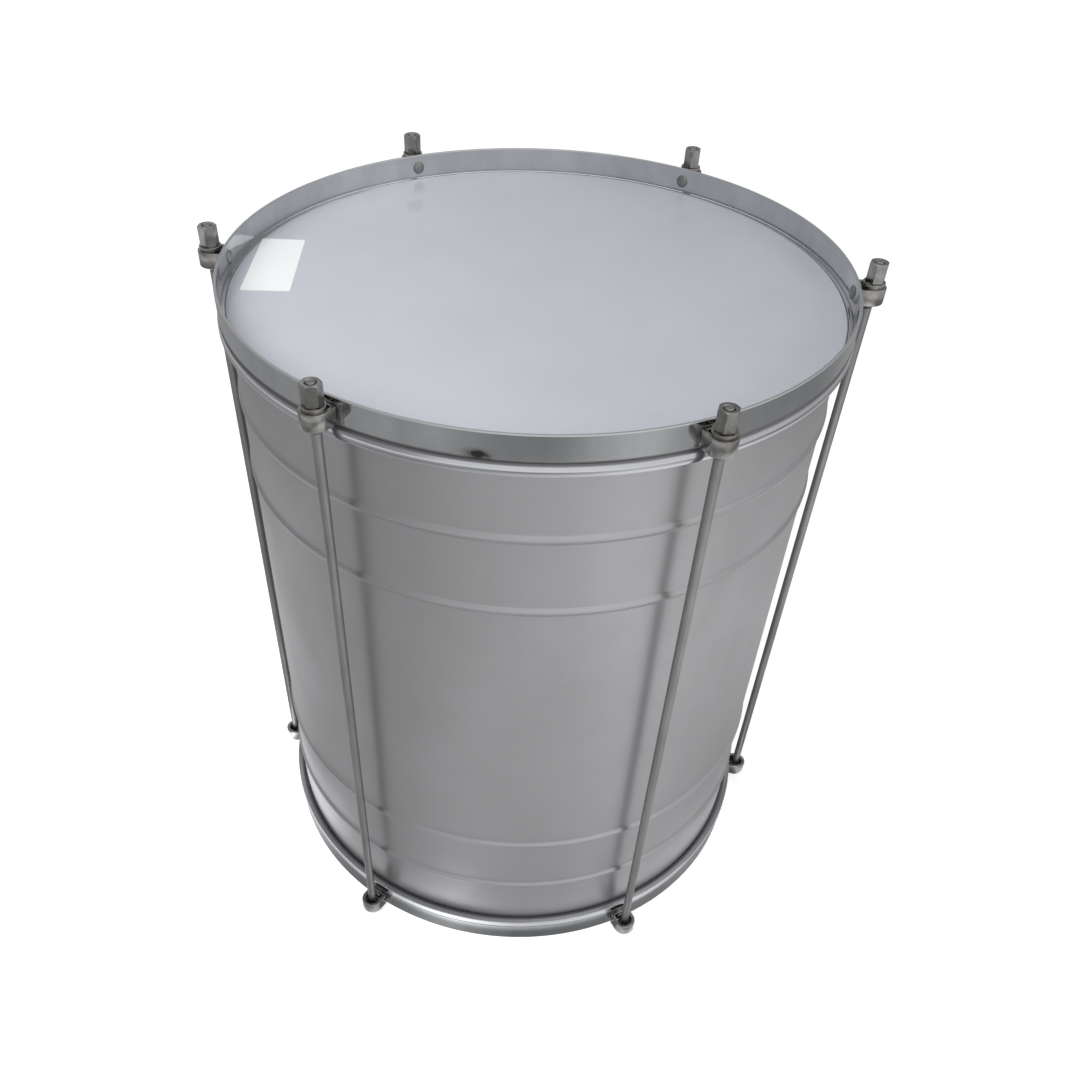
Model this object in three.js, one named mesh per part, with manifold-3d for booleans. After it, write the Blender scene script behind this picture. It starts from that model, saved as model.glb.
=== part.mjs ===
// Surdo: a two-headed samba bass drum. A beaded aluminium shell stands upright between two
// film heads, and six outside rods draw the two steel hoops together.
// Millimetres, +Z up, origin on the floor under the middle of the drum.

import * as THREE from 'three';
import { mergeVertices } from 'three/addons/utils/BufferGeometryUtils.js';
import Module from 'manifold-3d';

const wasm = await Module();
wasm.setup();

// Fits
const clearance = 0.3; // between pieces that seat on or pass through each other
const overrun = 2; // how far a cutting tool runs past what it cuts
const weldTolerance = 0.001; // vertices closer than this are one

// Shell: rolled aluminium sheet with four beads and turned-in bearing edges
const shellRadius = 203.2; // 16 inch drum, outside of the sheet
const shellLength = 463;
const shellWall = 1.2;
const bearingRadius = 2.5;
const bearingLip = 6;
const beadWidth = 8;
const beadRise = 1.6;
const beadFromEdge = 55; // middle of the bead next to each edge
const beadPitch = 55; // from that bead to the inner one

// Heads: film with a skirt that ends in the flesh hoop's slot
const filmThickness = 0.5;
const skirtLength = 5.4;
const filmHold = 3.2; // how far the film's edge reaches into the slot
const fleshWidth = 5.7;
const fleshHeight = 8.4;
const fleshRound = 3.6;

// Counterhoops: flat steel strip on edge
const hoopHeight = 16.6;
const hoopThickness = 2;
const hoopSetback = 1; // hoop's outside in from the flesh hoop's outside
const hoopEdge = 0.5;

// Rods, nuts and washers
const rodCount = 6;
const rodRadius = 3.175; // quarter inch
const rodStandoff = 10; // rod's centre out from the hoop's outside
const rodHeadRadius = 7;
const rodHeadHeight = 3.1;
const rodHeadRound = 1.2;
const rodTipRise = 0.4; // above the nut
const rodTipChamfer = 0.7;
const washerRadius = 7.4;
const washerPlay = 0.4;
const washerThickness = 2.4;
const nutFlats = 6;
const nutAcrossFlats = 11.1; // 7/16 inch
const nutHeight = 12.6;
const nutChamfer = 1.3;
const nutChamferDegrees = 30;
const nutTurnsDegrees = [8, 21, 3, 26, 12, 17]; // how each nut happens to stand

// Ears: strip bent into a loop round the rod, with one rivet through its base
const earHeight = 10.6;
const earStrip = 3;
const earPlay = 2.6; // loop's inside round the rod
const earInset = 3.9; // ear's face in from the hoop's free edge
const earBend = 3.4;
const rivetRadius = 2.4;
const rivetHeadRadius = 4.5;
const rivetHeadRise = 1.8;
const rivetTailRadius = 3.6;
const rivetTailRise = 1.3;

// Facets
const ringSides = 54; // a whole number of flats for each rod, so that one faces each ear
const rodSides = 10;
const nutSides = 12;
const rivetSides = 8;
const roundSteps = 2; // in a rounded corner
const foldSteps = 1; // on the inside of the sheet's fold
const beadOutsideSteps = 3;
const beadInsideSteps = 2;
const loopSteps = 6;
const bendSteps = 1;

// Heights and radii that follow
const headStack = clearance + filmThickness + clearance; // shell's edge to hoop's inner edge
const totalHeight = shellLength + 2 * (headStack + hoopHeight);
const shellTop = totalHeight - hoopHeight - headStack;
const shellBottom = shellTop - shellLength;
const hoopBottom = totalHeight - hoopHeight;
const fleshTop = hoopBottom - clearance;
const skirtRadius = shellRadius + clearance;
const fleshInnerRadius = skirtRadius + filmThickness + clearance;
const fleshOuterRadius = fleshInnerRadius + fleshWidth;
const hoopOuterRadius = fleshOuterRadius - hoopSetback;
const hoopInnerRadius = hoopOuterRadius - hoopThickness;
const facetTurn = Math.PI / ringSides;
const hoopOuterFlat = hoopOuterRadius * Math.cos(facetTurn);
const hoopInnerFlat = hoopInnerRadius * Math.cos(facetTurn);
const rodCircleRadius = hoopOuterRadius + rodStandoff;
const earLoopRadius = rodRadius + earPlay;
const earOuterRadius = earLoopRadius + earStrip;
const earBase = hoopOuterFlat + clearance; // distance from the drum's axis
const upperEarBottom = totalHeight - earInset - earHeight;
const lowerEarBottom = earInset;
const washerBottom = upperEarBottom + earHeight + clearance;
const nutBottom = washerBottom + washerThickness + clearance;
const rodBottom = lowerEarBottom - clearance - rodHeadHeight;
const rodTip = nutBottom + nutHeight + rodTipRise;

// Materials
const satinAluminium = new THREE.MeshStandardMaterial({ color: 0x9a9b9e, metalness: 1, roughness: 0.42 });
const brightAluminium = new THREE.MeshStandardMaterial({ color: 0xc9cbce, metalness: 1, roughness: 0.22 });
const hoopSteel = new THREE.MeshStandardMaterial({ color: 0x8a8b88, metalness: 1, roughness: 0.24 });
const rodSteel = new THREE.MeshStandardMaterial({ color: 0x7d7e7c, metalness: 1, roughness: 0.32 });
const nutSteel = new THREE.MeshStandardMaterial({ color: 0x6b6a66, metalness: 1, roughness: 0.3 });
const milkyFilm = new THREE.MeshStandardMaterial({ color: 0xc2c4cc, metalness: 0, roughness: 0.3 });

// Points along an arc, from one angle to another
function arc(x, y, radius, from, to, steps) {
  const points = [];
  for (let step = 0; step <= steps; step += 1) {
    const angle = from + ((to - from) * step) / steps;
    points.push(new THREE.Vector2(x + radius * Math.cos(angle), y + radius * Math.sin(angle)));
  }
  return points;
}

function point(x, y) {
  return new THREE.Vector2(x, y);
}

// Revolve a counterclockwise (radius, height) outline about +Z, with a corner at the given turn from +X
function revolve(outline, sides, turn = 0) {
  return new THREE.LatheGeometry(outline, sides, turn + Math.PI / 2).rotateX(Math.PI / 2);
}

// Revolve an outline that closes on itself, with flats facing the rods
function ring(outline) {
  return revolve([...outline, outline[0]], ringSides, facetTurn);
}

// The same outline at the drum's other end
function otherEnd(outline) {
  return outline.map((p) => point(p.x, totalHeight - p.y)).reverse();
}

// A bar along +X
function alongX(geometry) {
  return geometry.rotateY(Math.PI / 2);
}

// A closed geometry as a solid for cutting
function solidOf(geometry) {
  const bare = new THREE.BufferGeometry();
  bare.setAttribute('position', geometry.getAttribute('position'));
  bare.setIndex(geometry.getIndex());
  const merged = mergeVertices(bare, weldTolerance);
  return new wasm.Manifold(
    new wasm.Mesh({
      numProp: 3,
      vertProperties: merged.attributes.position.array,
      triVerts: new Uint32Array(merged.index.array),
    }),
  );
}

function geometryOf(solid) {
  const mesh = solid.getMesh();
  const geometry = new THREE.BufferGeometry();
  geometry.setAttribute('position', new THREE.BufferAttribute(mesh.vertProperties, mesh.numProp));
  geometry.setIndex(new THREE.BufferAttribute(mesh.triVerts, 1));
  return geometry;
}

// Add a named piece to a group
function addPiece(group, name, geometry, material, z = 0) {
  const mesh = new THREE.Mesh(geometry, material);
  mesh.name = name;
  mesh.position.z = z;
  group.add(mesh);
  return mesh;
}

// One face of the shell's sheet, as radii and heights going up
function sheetFace(radius, steps) {
  const beadHeights = [
    shellBottom + beadFromEdge,
    shellBottom + beadFromEdge + beadPitch,
    shellTop - beadFromEdge - beadPitch,
    shellTop - beadFromEdge,
  ];
  const points = [];
  for (const height of beadHeights) {
    for (let step = 0; step <= steps; step += 1) {
      const across = step / steps - 1 / 2;
      const rise = (beadRise * (1 + Math.cos(2 * Math.PI * across))) / 2;
      points.push(point(radius + rise, height + beadWidth * across));
    }
  }
  return points;
}

function shellGeometry() {
  const turnRadius = shellRadius - bearingRadius;
  const lipRadius = shellRadius - bearingLip;
  const insideTurn = bearingRadius - shellWall;
  const lowTurn = shellBottom + bearingRadius;
  const highTurn = shellTop - bearingRadius;
  return ring([
    point(lipRadius, shellBottom),
    ...arc(turnRadius, lowTurn, bearingRadius, -Math.PI / 2, 0, roundSteps),
    ...sheetFace(shellRadius, beadOutsideSteps),
    ...arc(turnRadius, highTurn, bearingRadius, 0, Math.PI / 2, roundSteps),
    point(lipRadius, shellTop),
    point(lipRadius, shellTop - shellWall),
    ...arc(turnRadius, highTurn, insideTurn, Math.PI / 2, 0, foldSteps),
    ...sheetFace(shellRadius - shellWall, beadInsideSteps).reverse(),
    ...arc(turnRadius, lowTurn, insideTurn, 0, -Math.PI / 2, foldSteps),
    point(lipRadius, shellBottom + shellWall),
  ]);
}

// Batter film, over the bearing edge, down the skirt and out into the slot
const slotMiddle = fleshTop - skirtLength;
const filmOutline = [
  point(0, fleshTop - filmThickness),
  ...arc(
    shellRadius - bearingRadius,
    shellTop - bearingRadius,
    bearingRadius + clearance,
    Math.PI / 2,
    0,
    roundSteps,
  ),
  point(skirtRadius, slotMiddle - filmThickness / 2),
  point(fleshInnerRadius + filmHold, slotMiddle - filmThickness / 2),
  point(fleshInnerRadius + filmHold, slotMiddle + filmThickness / 2),
  point(skirtRadius + filmThickness, slotMiddle + filmThickness / 2),
  ...arc(
    shellRadius - bearingRadius,
    shellTop - bearingRadius,
    bearingRadius + clearance + filmThickness,
    0,
    Math.PI / 2,
    roundSteps,
  ),
  point(0, fleshTop),
];

// Batter flesh hoop, with its slot open towards the shell
const slotHalf = filmThickness / 2 + clearance;
const slotEnd = fleshInnerRadius + filmHold + clearance;
const fleshOutline = [
  point(fleshInnerRadius, fleshTop - fleshHeight),
  point(fleshOuterRadius, fleshTop - fleshHeight),
  ...arc(fleshOuterRadius - fleshRound, fleshTop - fleshRound, fleshRound, 0, Math.PI / 2, roundSteps),
  point(fleshInnerRadius, fleshTop),
  point(fleshInnerRadius, slotMiddle + slotHalf),
  point(slotEnd, slotMiddle + slotHalf),
  point(slotEnd, slotMiddle - slotHalf),
  point(fleshInnerRadius, slotMiddle - slotHalf),
];

// Batter counterhoop, with the free edge broken on both sides
const hoopOutline = [
  point(hoopInnerRadius, hoopBottom),
  point(hoopOuterRadius, hoopBottom),
  point(hoopOuterRadius, totalHeight - hoopEdge),
  point(hoopOuterRadius - hoopEdge, totalHeight),
  point(hoopInnerRadius + hoopEdge, totalHeight),
  point(hoopInnerRadius, totalHeight - hoopEdge),
];

// A counterhoop with a hole for each ear's rivet
function drilledHoop(outline, earMiddle) {
  let hoop = solidOf(ring(outline));
  const holeLength = hoopOuterRadius - hoopInnerFlat + 2 * overrun;
  for (let index = 0; index < rodCount; index += 1) {
    const drill = alongX(revolve(barOutline(rivetRadius + clearance, 0, holeLength), rivetSides));
    drill.translate(hoopInnerFlat - overrun, 0, earMiddle);
    drill.rotateZ((2 * Math.PI * index) / rodCount);
    hoop = hoop.subtract(solidOf(drill));
  }
  return geometryOf(hoop);
}

function barOutline(radius, low, high) {
  return [point(0, low), point(radius, low), point(radius, high), point(0, high)];
}

// A straight-sided bar on z = 0 from an outline of points
function extrude(points, height) {
  return new THREE.ExtrudeGeometry(new THREE.Shape(points), { depth: height, bevelEnabled: false });
}

// An ear stands on z = 0 with the rod's axis through the origin and the hoop towards -X
function earGeometry() {
  const base = earBase - rodCircleRadius;
  const bendX = base + earBend;
  const bendY = earOuterRadius - earBend;
  const strip = extrude(
    [
      ...arc(0, 0, earOuterRadius, -Math.PI / 2, Math.PI / 2, loopSteps),
      ...arc(bendX, bendY, earBend, Math.PI / 2, Math.PI, bendSteps),
      ...arc(bendX, -bendY, earBend, Math.PI, (3 * Math.PI) / 2, bendSteps),
    ],
    earHeight,
  );
  const inside = extrude(
    [
      ...arc(0, 0, earLoopRadius, -Math.PI / 2, Math.PI / 2, loopSteps),
      point(base + earStrip, earLoopRadius),
      point(base + earStrip, -earLoopRadius),
    ],
    earHeight + 2 * overrun,
  ).translate(0, 0, -overrun);
  const hole = barOutline(rivetRadius + clearance, base - overrun, base + earStrip + overrun);
  const drill = alongX(revolve(hole, rivetSides)).translate(0, 0, earHeight / 2);
  return geometryOf(solidOf(strip).subtract(solidOf(inside)).subtract(solidOf(drill)));
}

// A rivet lies along +X at its real distance from the drum's axis
function rivetGeometry() {
  const headSeat = hoopInnerFlat - clearance;
  const tailSeat = earBase + earStrip + clearance;
  const dome = arc(0, 0, 1, -Math.PI / 2, 0, roundSteps);
  const outline = [
    ...dome.map((p) => point(rivetHeadRadius * p.x, headSeat + rivetHeadRise * p.y)),
    point(rivetRadius, headSeat),
    point(rivetRadius, tailSeat),
    point(rivetTailRadius, tailSeat),
    point(rivetTailRadius, tailSeat + rivetTailRise),
    point(0, tailSeat + rivetTailRise),
  ];
  return alongX(revolve(outline, rivetSides));
}

function rodGeometry() {
  const headTop = rodBottom + rodHeadHeight;
  return revolve(
    [
      point(0, rodBottom),
      point(rodHeadRadius - rodHeadRound, rodBottom),
      point(rodHeadRadius, rodBottom + rodHeadRound),
      point(rodHeadRadius, headTop),
      point(rodRadius, headTop),
      point(rodRadius, rodTip - rodTipChamfer),
      point(rodRadius - rodTipChamfer, rodTip),
      point(0, rodTip),
    ],
    rodSides,
  );
}

function washerGeometry() {
  const inner = rodRadius + washerPlay;
  const outline = [
    point(inner, 0),
    point(washerRadius, 0),
    point(washerRadius, washerThickness),
    point(inner, washerThickness),
    point(inner, 0),
  ];
  return revolve(outline, rodSides);
}

// A hexagon bar, turned to a chamfer at both ends and bored
function nutGeometry() {
  const cornerRadius = nutAcrossFlats / 2 / Math.cos(Math.PI / nutFlats);
  const hexagon = revolve(barOutline(cornerRadius, 0, nutHeight), nutFlats);
  const slope = nutChamfer * Math.tan(THREE.MathUtils.degToRad(nutChamferDegrees));
  const turning = revolve(
    [
      point(0, 0),
      point(cornerRadius - nutChamfer, 0),
      point(cornerRadius, slope),
      point(cornerRadius, nutHeight - slope),
      point(cornerRadius - nutChamfer, nutHeight),
      point(0, nutHeight),
    ],
    nutSides,
  );
  const bore = revolve(barOutline(rodRadius + clearance, -overrun, nutHeight + overrun), rodSides);
  return geometryOf(solidOf(hexagon).intersect(solidOf(turning)).subtract(solidOf(bore)));
}

const surdo = new THREE.Group();
surdo.name = 'surdo';

addPiece(surdo, 'shell', shellGeometry(), satinAluminium);

addPiece(surdo, 'batter_film', revolve(filmOutline, ringSides, facetTurn), milkyFilm);
addPiece(surdo, 'batter_flesh_hoop', ring(fleshOutline), brightAluminium);
const upperHoop = drilledHoop(hoopOutline, upperEarBottom + earHeight / 2);
addPiece(surdo, 'batter_counterhoop', upperHoop, hoopSteel);

addPiece(surdo, 'resonant_film', revolve(otherEnd(filmOutline), ringSides, facetTurn), milkyFilm);
addPiece(surdo, 'resonant_flesh_hoop', ring(otherEnd(fleshOutline)), brightAluminium);
const lowerHoop = drilledHoop(otherEnd(hoopOutline), lowerEarBottom + earHeight / 2);
addPiece(surdo, 'resonant_counterhoop', lowerHoop, hoopSteel);

// Six stations round the drum: a rod with an ear at each end, and its washer and nut on top
for (let index = 0; index < rodCount; index += 1) {
  const number = index + 1;
  const station = new THREE.Group();
  station.rotation.z = (2 * Math.PI * index) / rodCount;
  surdo.add(station);

  addPiece(station, `upper_rivet_${number}`, rivetGeometry(), nutSteel, upperEarBottom + earHeight / 2);
  addPiece(station, `lower_rivet_${number}`, rivetGeometry(), nutSteel, lowerEarBottom + earHeight / 2);

  const rodLine = new THREE.Group();
  rodLine.position.x = rodCircleRadius;
  station.add(rodLine);
  addPiece(rodLine, `upper_ear_${number}`, earGeometry(), nutSteel, upperEarBottom);
  addPiece(rodLine, `lower_ear_${number}`, earGeometry(), nutSteel, lowerEarBottom);
  addPiece(rodLine, `tension_rod_${number}`, rodGeometry(), rodSteel);
  addPiece(rodLine, `washer_${number}`, washerGeometry(), nutSteel, washerBottom);
  const nut = addPiece(rodLine, `tuning_nut_${number}`, nutGeometry(), nutSteel, nutBottom);
  nut.rotation.z = THREE.MathUtils.degToRad(nutTurnsDegrees[index]);
}

export default surdo;
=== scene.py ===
# Surdo: a two-headed samba bass drum of aluminium and steel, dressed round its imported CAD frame.
# Metres, +Z up, the drum's axis on Z and the floor at z = 0. The dictionaries hold millimetres and degrees,
# the studio's metres and degrees.

import bmesh
import bpy
import math
from mathutils import Euler, Matrix, Vector


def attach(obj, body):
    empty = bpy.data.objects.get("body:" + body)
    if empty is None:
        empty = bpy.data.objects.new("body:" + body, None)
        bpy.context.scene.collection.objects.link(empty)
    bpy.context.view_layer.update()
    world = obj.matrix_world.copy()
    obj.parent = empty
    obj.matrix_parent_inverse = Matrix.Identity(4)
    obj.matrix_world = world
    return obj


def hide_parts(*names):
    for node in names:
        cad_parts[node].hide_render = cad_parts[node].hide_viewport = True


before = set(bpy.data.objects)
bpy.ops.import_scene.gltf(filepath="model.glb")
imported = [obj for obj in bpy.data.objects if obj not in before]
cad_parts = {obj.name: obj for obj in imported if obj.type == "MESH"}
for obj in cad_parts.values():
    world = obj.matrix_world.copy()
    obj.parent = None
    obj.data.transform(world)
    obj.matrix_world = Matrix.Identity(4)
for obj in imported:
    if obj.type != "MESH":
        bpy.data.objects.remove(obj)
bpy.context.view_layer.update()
scene = bpy.context.scene
scene.view_settings.view_transform = "Standard"

# Sizes that several pieces share
drum = {
    "height": 498.4,         # from one counterhoop's free edge to the other's
    "shellRadius": 203.2,    # 16 inch shell
    "shellBottom": 17.7,
    "shellTop": 480.7,
    "headTop": 481.5,        # upper film's playing face, and the flesh hoop's top
    "hoopRadius": 209.0,     # counterhoop's outside
    "hoopWall": 2.0,
    "stations": 6,
    "rodCircle": 219.0,      # rods' centres from the drum's axis
    "rodRadius": 3.175,      # quarter inch
    "ringSides": 288,
}


def addNode(tree, kind, inputs=None, **settings):
    # Adds a node, sets its properties, and links or fills its inputs by name or number. A node as an input
    # stands for its first output
    node = tree.nodes.new(kind)
    for name, value in settings.items():
        setattr(node, name, value)
    for key, value in (inputs or {}).items():
        if isinstance(value, bpy.types.Node):
            value = value.outputs[0]
        if isinstance(value, bpy.types.NodeSocket):
            tree.links.new(value, node.inputs[key])
        else:
            node.inputs[key].default_value = value
    return node


def linearColour(hexValue):
    # sRGB hex to the linear values that the shader takes
    channels = [int(hexValue[i:i + 2], 16) / 255 for i in (1, 3, 5)]
    return [c / 12.92 if c <= 0.04045 else ((c + 0.055) / 1.055) ** 2.4 for c in channels] + [1.0]


# Camera at the photograph's angle

camera = {
    "place": (23.5, -669.6, 789.7),
    "turn": (44.301, -1.086, 4.898),
    "lens": 34.3,
    "sensor": 36.0,
    "shift": (0.0422, 0.129),  # the drum stands off the middle of the frame
    "nearest": 10.0,           # closer things than this aren't drawn
}
cameraData = bpy.data.cameras.new("photographCamera")
cameraData.lens = camera["lens"]
cameraData.sensor_width = camera["sensor"]
cameraData.shift_x, cameraData.shift_y = camera["shift"]
cameraData.clip_start = camera["nearest"] / 1000
cameraObject = bpy.data.objects.new("photographCamera", cameraData)
cameraObject.location = Vector(camera["place"]) / 1000
cameraObject.rotation_euler = Euler([math.radians(a) for a in camera["turn"]])
scene.collection.objects.link(cameraObject)
scene.camera = cameraObject


# Geometry Nodes trees

def newTree(name, sockets):
    # A geometry tree with named inputs, whole numbers or decimals as their defaults are, and a material
    kinds = {int: "NodeSocketInt", float: "NodeSocketFloat"}
    tree = bpy.data.node_groups.new(name, "GeometryNodeTree")
    tree.interface.new_socket("Geometry", in_out="INPUT", socket_type="NodeSocketGeometry")
    for label, default in sockets.items():
        socket = tree.interface.new_socket(label, in_out="INPUT", socket_type=kinds[type(default)])
        socket.default_value = default
    tree.interface.new_socket("Material", in_out="INPUT", socket_type="NodeSocketMaterial")
    tree.interface.new_socket("Geometry", in_out="OUTPUT", socket_type="NodeSocketGeometry")
    start = tree.nodes.new("NodeGroupInput")
    return tree, start.outputs


def finishTree(tree, geometry, material):
    # Real copies, the material, and the way out
    real = addNode(tree, "GeometryNodeRealizeInstances", {"Geometry": geometry})
    painted = addNode(tree, "GeometryNodeSetMaterial", {"Geometry": real, "Material": material})
    end = tree.nodes.new("NodeGroupOutput")
    tree.links.new(painted.outputs[0], end.inputs[0])
    return tree


def endTree(tree, geometry, material, sharpDegrees=30):
    # Smooth faces with sharp edges past the angle
    edgeAngle = addNode(tree, "GeometryNodeInputMeshEdgeAngle")
    sharp = addNode(tree, "FunctionNodeCompare",
                    {0: edgeAngle, 1: math.radians(sharpDegrees)}, operation="GREATER_THAN")
    smooth = addNode(tree, "GeometryNodeSetShadeSmooth", {"Geometry": geometry, "Shade Smooth": True})
    creased = addNode(tree, "GeometryNodeSetShadeSmooth",
                      {"Geometry": smooth, "Selection": sharp, "Shade Smooth": False},
                      domain="EDGE")
    return finishTree(tree, creased, material)


def turningTree():
    # Turns a profile line, drawn as x = radius and z = height, about the drum's axis
    tree, given = newTree("turnProfile", {"Sides": drum["ringSides"]})
    size = addNode(tree, "GeometryNodeAttributeDomainSize", {0: given["Geometry"]})
    columns = addNode(tree, "ShaderNodeMath", {0: given["Sides"], 1: 1.0}, operation="ADD")
    grid = addNode(tree, "GeometryNodeMeshGrid", {"Size X": 1.0, "Size Y": 1.0,
                                                  "Vertices X": size.outputs["Point Count"],
                                                  "Vertices Y": columns})
    position = addNode(tree, "GeometryNodeInputPosition")
    place = addNode(tree, "ShaderNodeSeparateXYZ", {0: position})
    last = addNode(tree, "ShaderNodeMath", {0: size.outputs["Point Count"], 1: 1.0}, operation="SUBTRACT")
    along = addNode(tree, "ShaderNodeMath", {0: place, 1: 0.5}, operation="ADD")
    index = addNode(tree, "ShaderNodeMath", {0: along, 1: last}, operation="MULTIPLY")
    whole = addNode(tree, "FunctionNodeFloatToInt", {0: index}, rounding_mode="ROUND")
    profile = addNode(tree, "GeometryNodeSampleIndex",
                      {"Geometry": given["Geometry"], "Value": position, "Index": whole},
                      data_type="FLOAT_VECTOR")
    angle = addNode(tree, "ShaderNodeMath", {0: place.outputs[1], 1: 2 * math.pi}, operation="MULTIPLY")
    turned = addNode(tree, "ShaderNodeVectorRotate",
                     {"Vector": profile, "Angle": angle}, rotation_type="Z_AXIS")
    placed = addNode(tree, "GeometryNodeSetPosition",
                     {"Geometry": grid.outputs["Mesh"], "Position": turned})
    # Merging closes the seam and the poles, and the grid's faces point inwards until they are flipped
    closed = addNode(tree, "GeometryNodeMergeByDistance", {"Geometry": placed, "Distance": 1e-6})
    outward = addNode(tree, "GeometryNodeFlipFaces", {"Mesh": closed})
    return endTree(tree, outward, given["Material"])


def turnedInside(tree, given, turning):
    # The turning tree inside another tree, fed from that one's inputs
    group = addNode(tree, "GeometryNodeGroup", node_tree=turning)
    for name in ("Geometry", "Sides", "Material"):
        tree.links.new(given[name], group.inputs[name])
    return group.outputs[0]


def stationsTree():
    # Sets copies of one piece round the drum's axis
    tree, given = newTree("setAtStations", {"Count": drum["stations"]})
    points = addNode(tree, "GeometryNodePoints", {"Count": given["Count"]})
    number = addNode(tree, "GeometryNodeInputIndex")
    step = addNode(tree, "ShaderNodeMath", {0: 2 * math.pi, 1: given["Count"]}, operation="DIVIDE")
    angle = addNode(tree, "ShaderNodeMath", {0: number, 1: step}, operation="MULTIPLY")
    turn = addNode(tree, "ShaderNodeCombineXYZ", {"Z": angle})
    copies = addNode(tree, "GeometryNodeInstanceOnPoints",
                     {"Points": points, "Instance": given["Geometry"], "Rotation": turn})
    return finishTree(tree, copies, given["Material"])


def stripTree():
    # Bends a flat strip, standing on edge, along a closed line in a level plane
    tree, given = newTree("bendStrip", {"Thickness": 0.0024, "Height": 0.012, "Edge": 0.0005})
    line = addNode(tree, "GeometryNodeMeshToCurve", {"Mesh": given["Geometry"]})
    upright = addNode(tree, "GeometryNodeSetCurveNormal", {"Curve": line}, mode="Z_UP")
    section = addNode(tree, "GeometryNodeCurvePrimitiveQuadrilateral",
                      {"Width": given["Thickness"], "Height": given["Height"]}, mode="RECTANGLE")
    rounded = addNode(tree, "GeometryNodeFilletCurve",
                      {"Curve": section, "Count": 3, "Radius": given["Edge"]}, mode="POLY")
    swept = addNode(tree, "GeometryNodeCurveToMesh", {"Curve": upright, "Profile Curve": rounded})
    return endTree(tree, swept, given["Material"], 40)


def threadTree(turning):
    # A turned rod with a rolled thread wound round its upper end
    tree, given = newTree("rollThread", {"Sides": 32, "Root": 0.0028, "Crest": 0.0004, "Pitch": 0.00127,
                                         "Turns": 24.0, "Start": 0.48})
    rise = addNode(tree, "ShaderNodeMath", {0: given["Pitch"], 1: given["Turns"]}, operation="MULTIPLY")
    helix = addNode(tree, "GeometryNodeCurveSpiral",
                    {"Resolution": 24, "Rotations": given["Turns"], "Start Radius": given["Root"],
                     "End Radius": given["Root"], "Height": rise})
    upright = addNode(tree, "GeometryNodeSetCurveNormal", {"Curve": helix}, mode="Z_UP")
    ridge = addNode(tree, "GeometryNodeCurvePrimitiveCircle", {"Resolution": 4, "Radius": given["Crest"]},
                    mode="RADIUS")
    wound = addNode(tree, "GeometryNodeCurveToMesh",
                    {"Curve": upright, "Profile Curve": ridge, "Fill Caps": True})
    lift = addNode(tree, "ShaderNodeCombineXYZ", {"Z": given["Start"]})
    raised = addNode(tree, "GeometryNodeTransform", {"Geometry": wound, "Translation": lift})
    both = tree.nodes.new("GeometryNodeJoinGeometry")
    tree.links.new(raised.outputs[0], both.inputs[0])
    tree.links.new(turnedInside(tree, given, turning), both.inputs[0])
    return endTree(tree, both, given["Material"], 35)


def nutTree(turning):
    # A hexagon bar kept inside a turned form, which leaves the chamfers and the bore
    tree, given = newTree("cutHexagon", {"Sides": 96, "Corner Radius": 0.0064, "Length": 0.016,
                                         "Middle": 0.5, "Turn": 0.0})
    bar = addNode(tree, "GeometryNodeMeshCylinder",
                  {"Vertices": 6, "Radius": given["Corner Radius"], "Depth": given["Length"]})
    middle = addNode(tree, "ShaderNodeCombineXYZ", {"Z": given["Middle"]})
    turn = addNode(tree, "ShaderNodeCombineXYZ", {"Z": given["Turn"]})
    placed = addNode(tree, "GeometryNodeTransform",
                     {"Geometry": bar, "Translation": middle, "Rotation": turn})
    cut = addNode(tree, "GeometryNodeMeshBoolean", operation="INTERSECT", solver="EXACT")
    tree.links.new(placed.outputs[0], cut.inputs["Mesh 2"])
    tree.links.new(turnedInside(tree, given, turning), cut.inputs["Mesh 2"])
    return endTree(tree, cut, given["Material"], 20)


turnProfile = turningTree()
setAtStations = stationsTree()
bendStrip = stripTree()
rollThread = threadTree(turnProfile)
cutHexagon = nutTree(turnProfile)


# Making pieces

def placeMesh(name, points, edges, faces):
    # A new object in the scene, from points in metres
    mesh = bpy.data.meshes.new(name)
    mesh.from_pydata(points, edges, faces)
    thing = bpy.data.objects.new(name, mesh)
    scene.collection.objects.link(thing)
    return thing


def lineObject(name, points, closed=False):
    # A line of vertices, from points in millimetres
    edges = [(i, i + 1) for i in range(len(points) - 1)]
    if closed:
        edges.append((len(points) - 1, 0))
    return placeMesh(name, [Vector(p) / 1000 for p in points], edges, [])


def runTree(thing, tree, values, bevel=None):
    # Runs a tree on an object with values by input name, and leaves the result as a plain mesh
    modifier = thing.modifiers.new(tree.name, "NODES")
    modifier.node_group = tree
    for item in tree.interface.items_tree:
        if item.in_out == "INPUT" and item.name in values:
            modifier[item.identifier] = values[item.name]
    if bevel:
        edge = thing.modifiers.new("edges", "BEVEL")
        edge.width, edge.segments = bevel["width"] / 1000, bevel["segments"]
        edge.limit_method, edge.angle_limit = "ANGLE", math.radians(bevel["past"])
        edge.harden_normals = True
    thing.update_tag()
    bpy.context.view_layer.update()
    made = thing.evaluated_get(bpy.context.evaluated_depsgraph_get())
    mesh = bpy.data.meshes.new_from_object(made, preserve_all_data_layers=True,
                                           depsgraph=bpy.context.evaluated_depsgraph_get())
    if len(mesh.materials) and mesh.materials[0] is None:
        mesh.materials.pop(index=0)  # the empty slot that a primitive brings
    thing.modifiers.clear()
    old, thing.data = thing.data, mesh
    mesh.name = thing.name
    bpy.data.meshes.remove(old)
    return thing


def fitPiece(thing, body, nodes):
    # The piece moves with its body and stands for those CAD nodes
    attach(thing, body)
    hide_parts(*nodes)
    print(f"  {thing.name}: {len(thing.data.polygons)} faces on {body}")


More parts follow.
